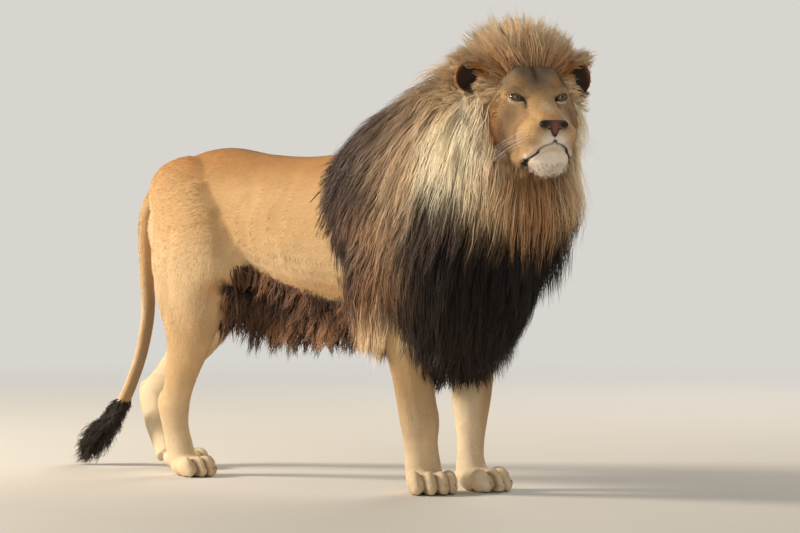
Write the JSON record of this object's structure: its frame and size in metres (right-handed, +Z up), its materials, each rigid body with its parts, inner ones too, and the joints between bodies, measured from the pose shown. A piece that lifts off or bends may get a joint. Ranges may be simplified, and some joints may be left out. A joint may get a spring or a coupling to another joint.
{
  "type": "standing male lion",
  "caption": "Life-size still model of a standing adult male lion with a full dark mane, head turned to its right.",
  "frame": {"origin": "on the floor, under the middle of the box round the whole animal", "axes": "+X towards the front of the body, +Y towards its left side, +Z up"},
  "size_m": [2.0636, 0.6104, 1.3949],
  "materials": {
    "short_coat": "short dense hair lying flat, tawny gold, paler on belly, legs and chin",
    "mane_hair": "long soft hair, blond round the face, dark brown to black on neck, chest, belly and tail tuft",
    "nose_leather": "moist pebbled skin, dark with a pinkish brown middle",
    "eye": "wet clear surface over an amber iris"
  },
  "bodies": {
    "root": {"head": "short_coat", "jaw": "short_coat", "trunk": "short_coat", "rump": "short_coat", "thigh_left": "short_coat", "thigh_right": "short_coat", "shank_left": "short_coat", "shank_right": "short_coat", "forearm_left": "short_coat", "forearm_right": "short_coat", "fore_paw_left": "short_coat", "fore_paw_right": "short_coat", "hind_paw_left": "short_coat", "hind_paw_right": "short_coat", "ear_left": "short_coat", "ear_right": "short_coat", "tail_root": "short_coat", "tail_middle": "short_coat", "tail_end": "short_coat", "mane_neck": "mane_hair", "mane_bib": "mane_hair", "mane_ruff": "mane_hair", "belly_fringe": "mane_hair", "tail_tuft": "mane_hair", "nose": "nose_leather", "eye_left": "eye", "eye_right": "eye"}
  },
  "joints": []
}
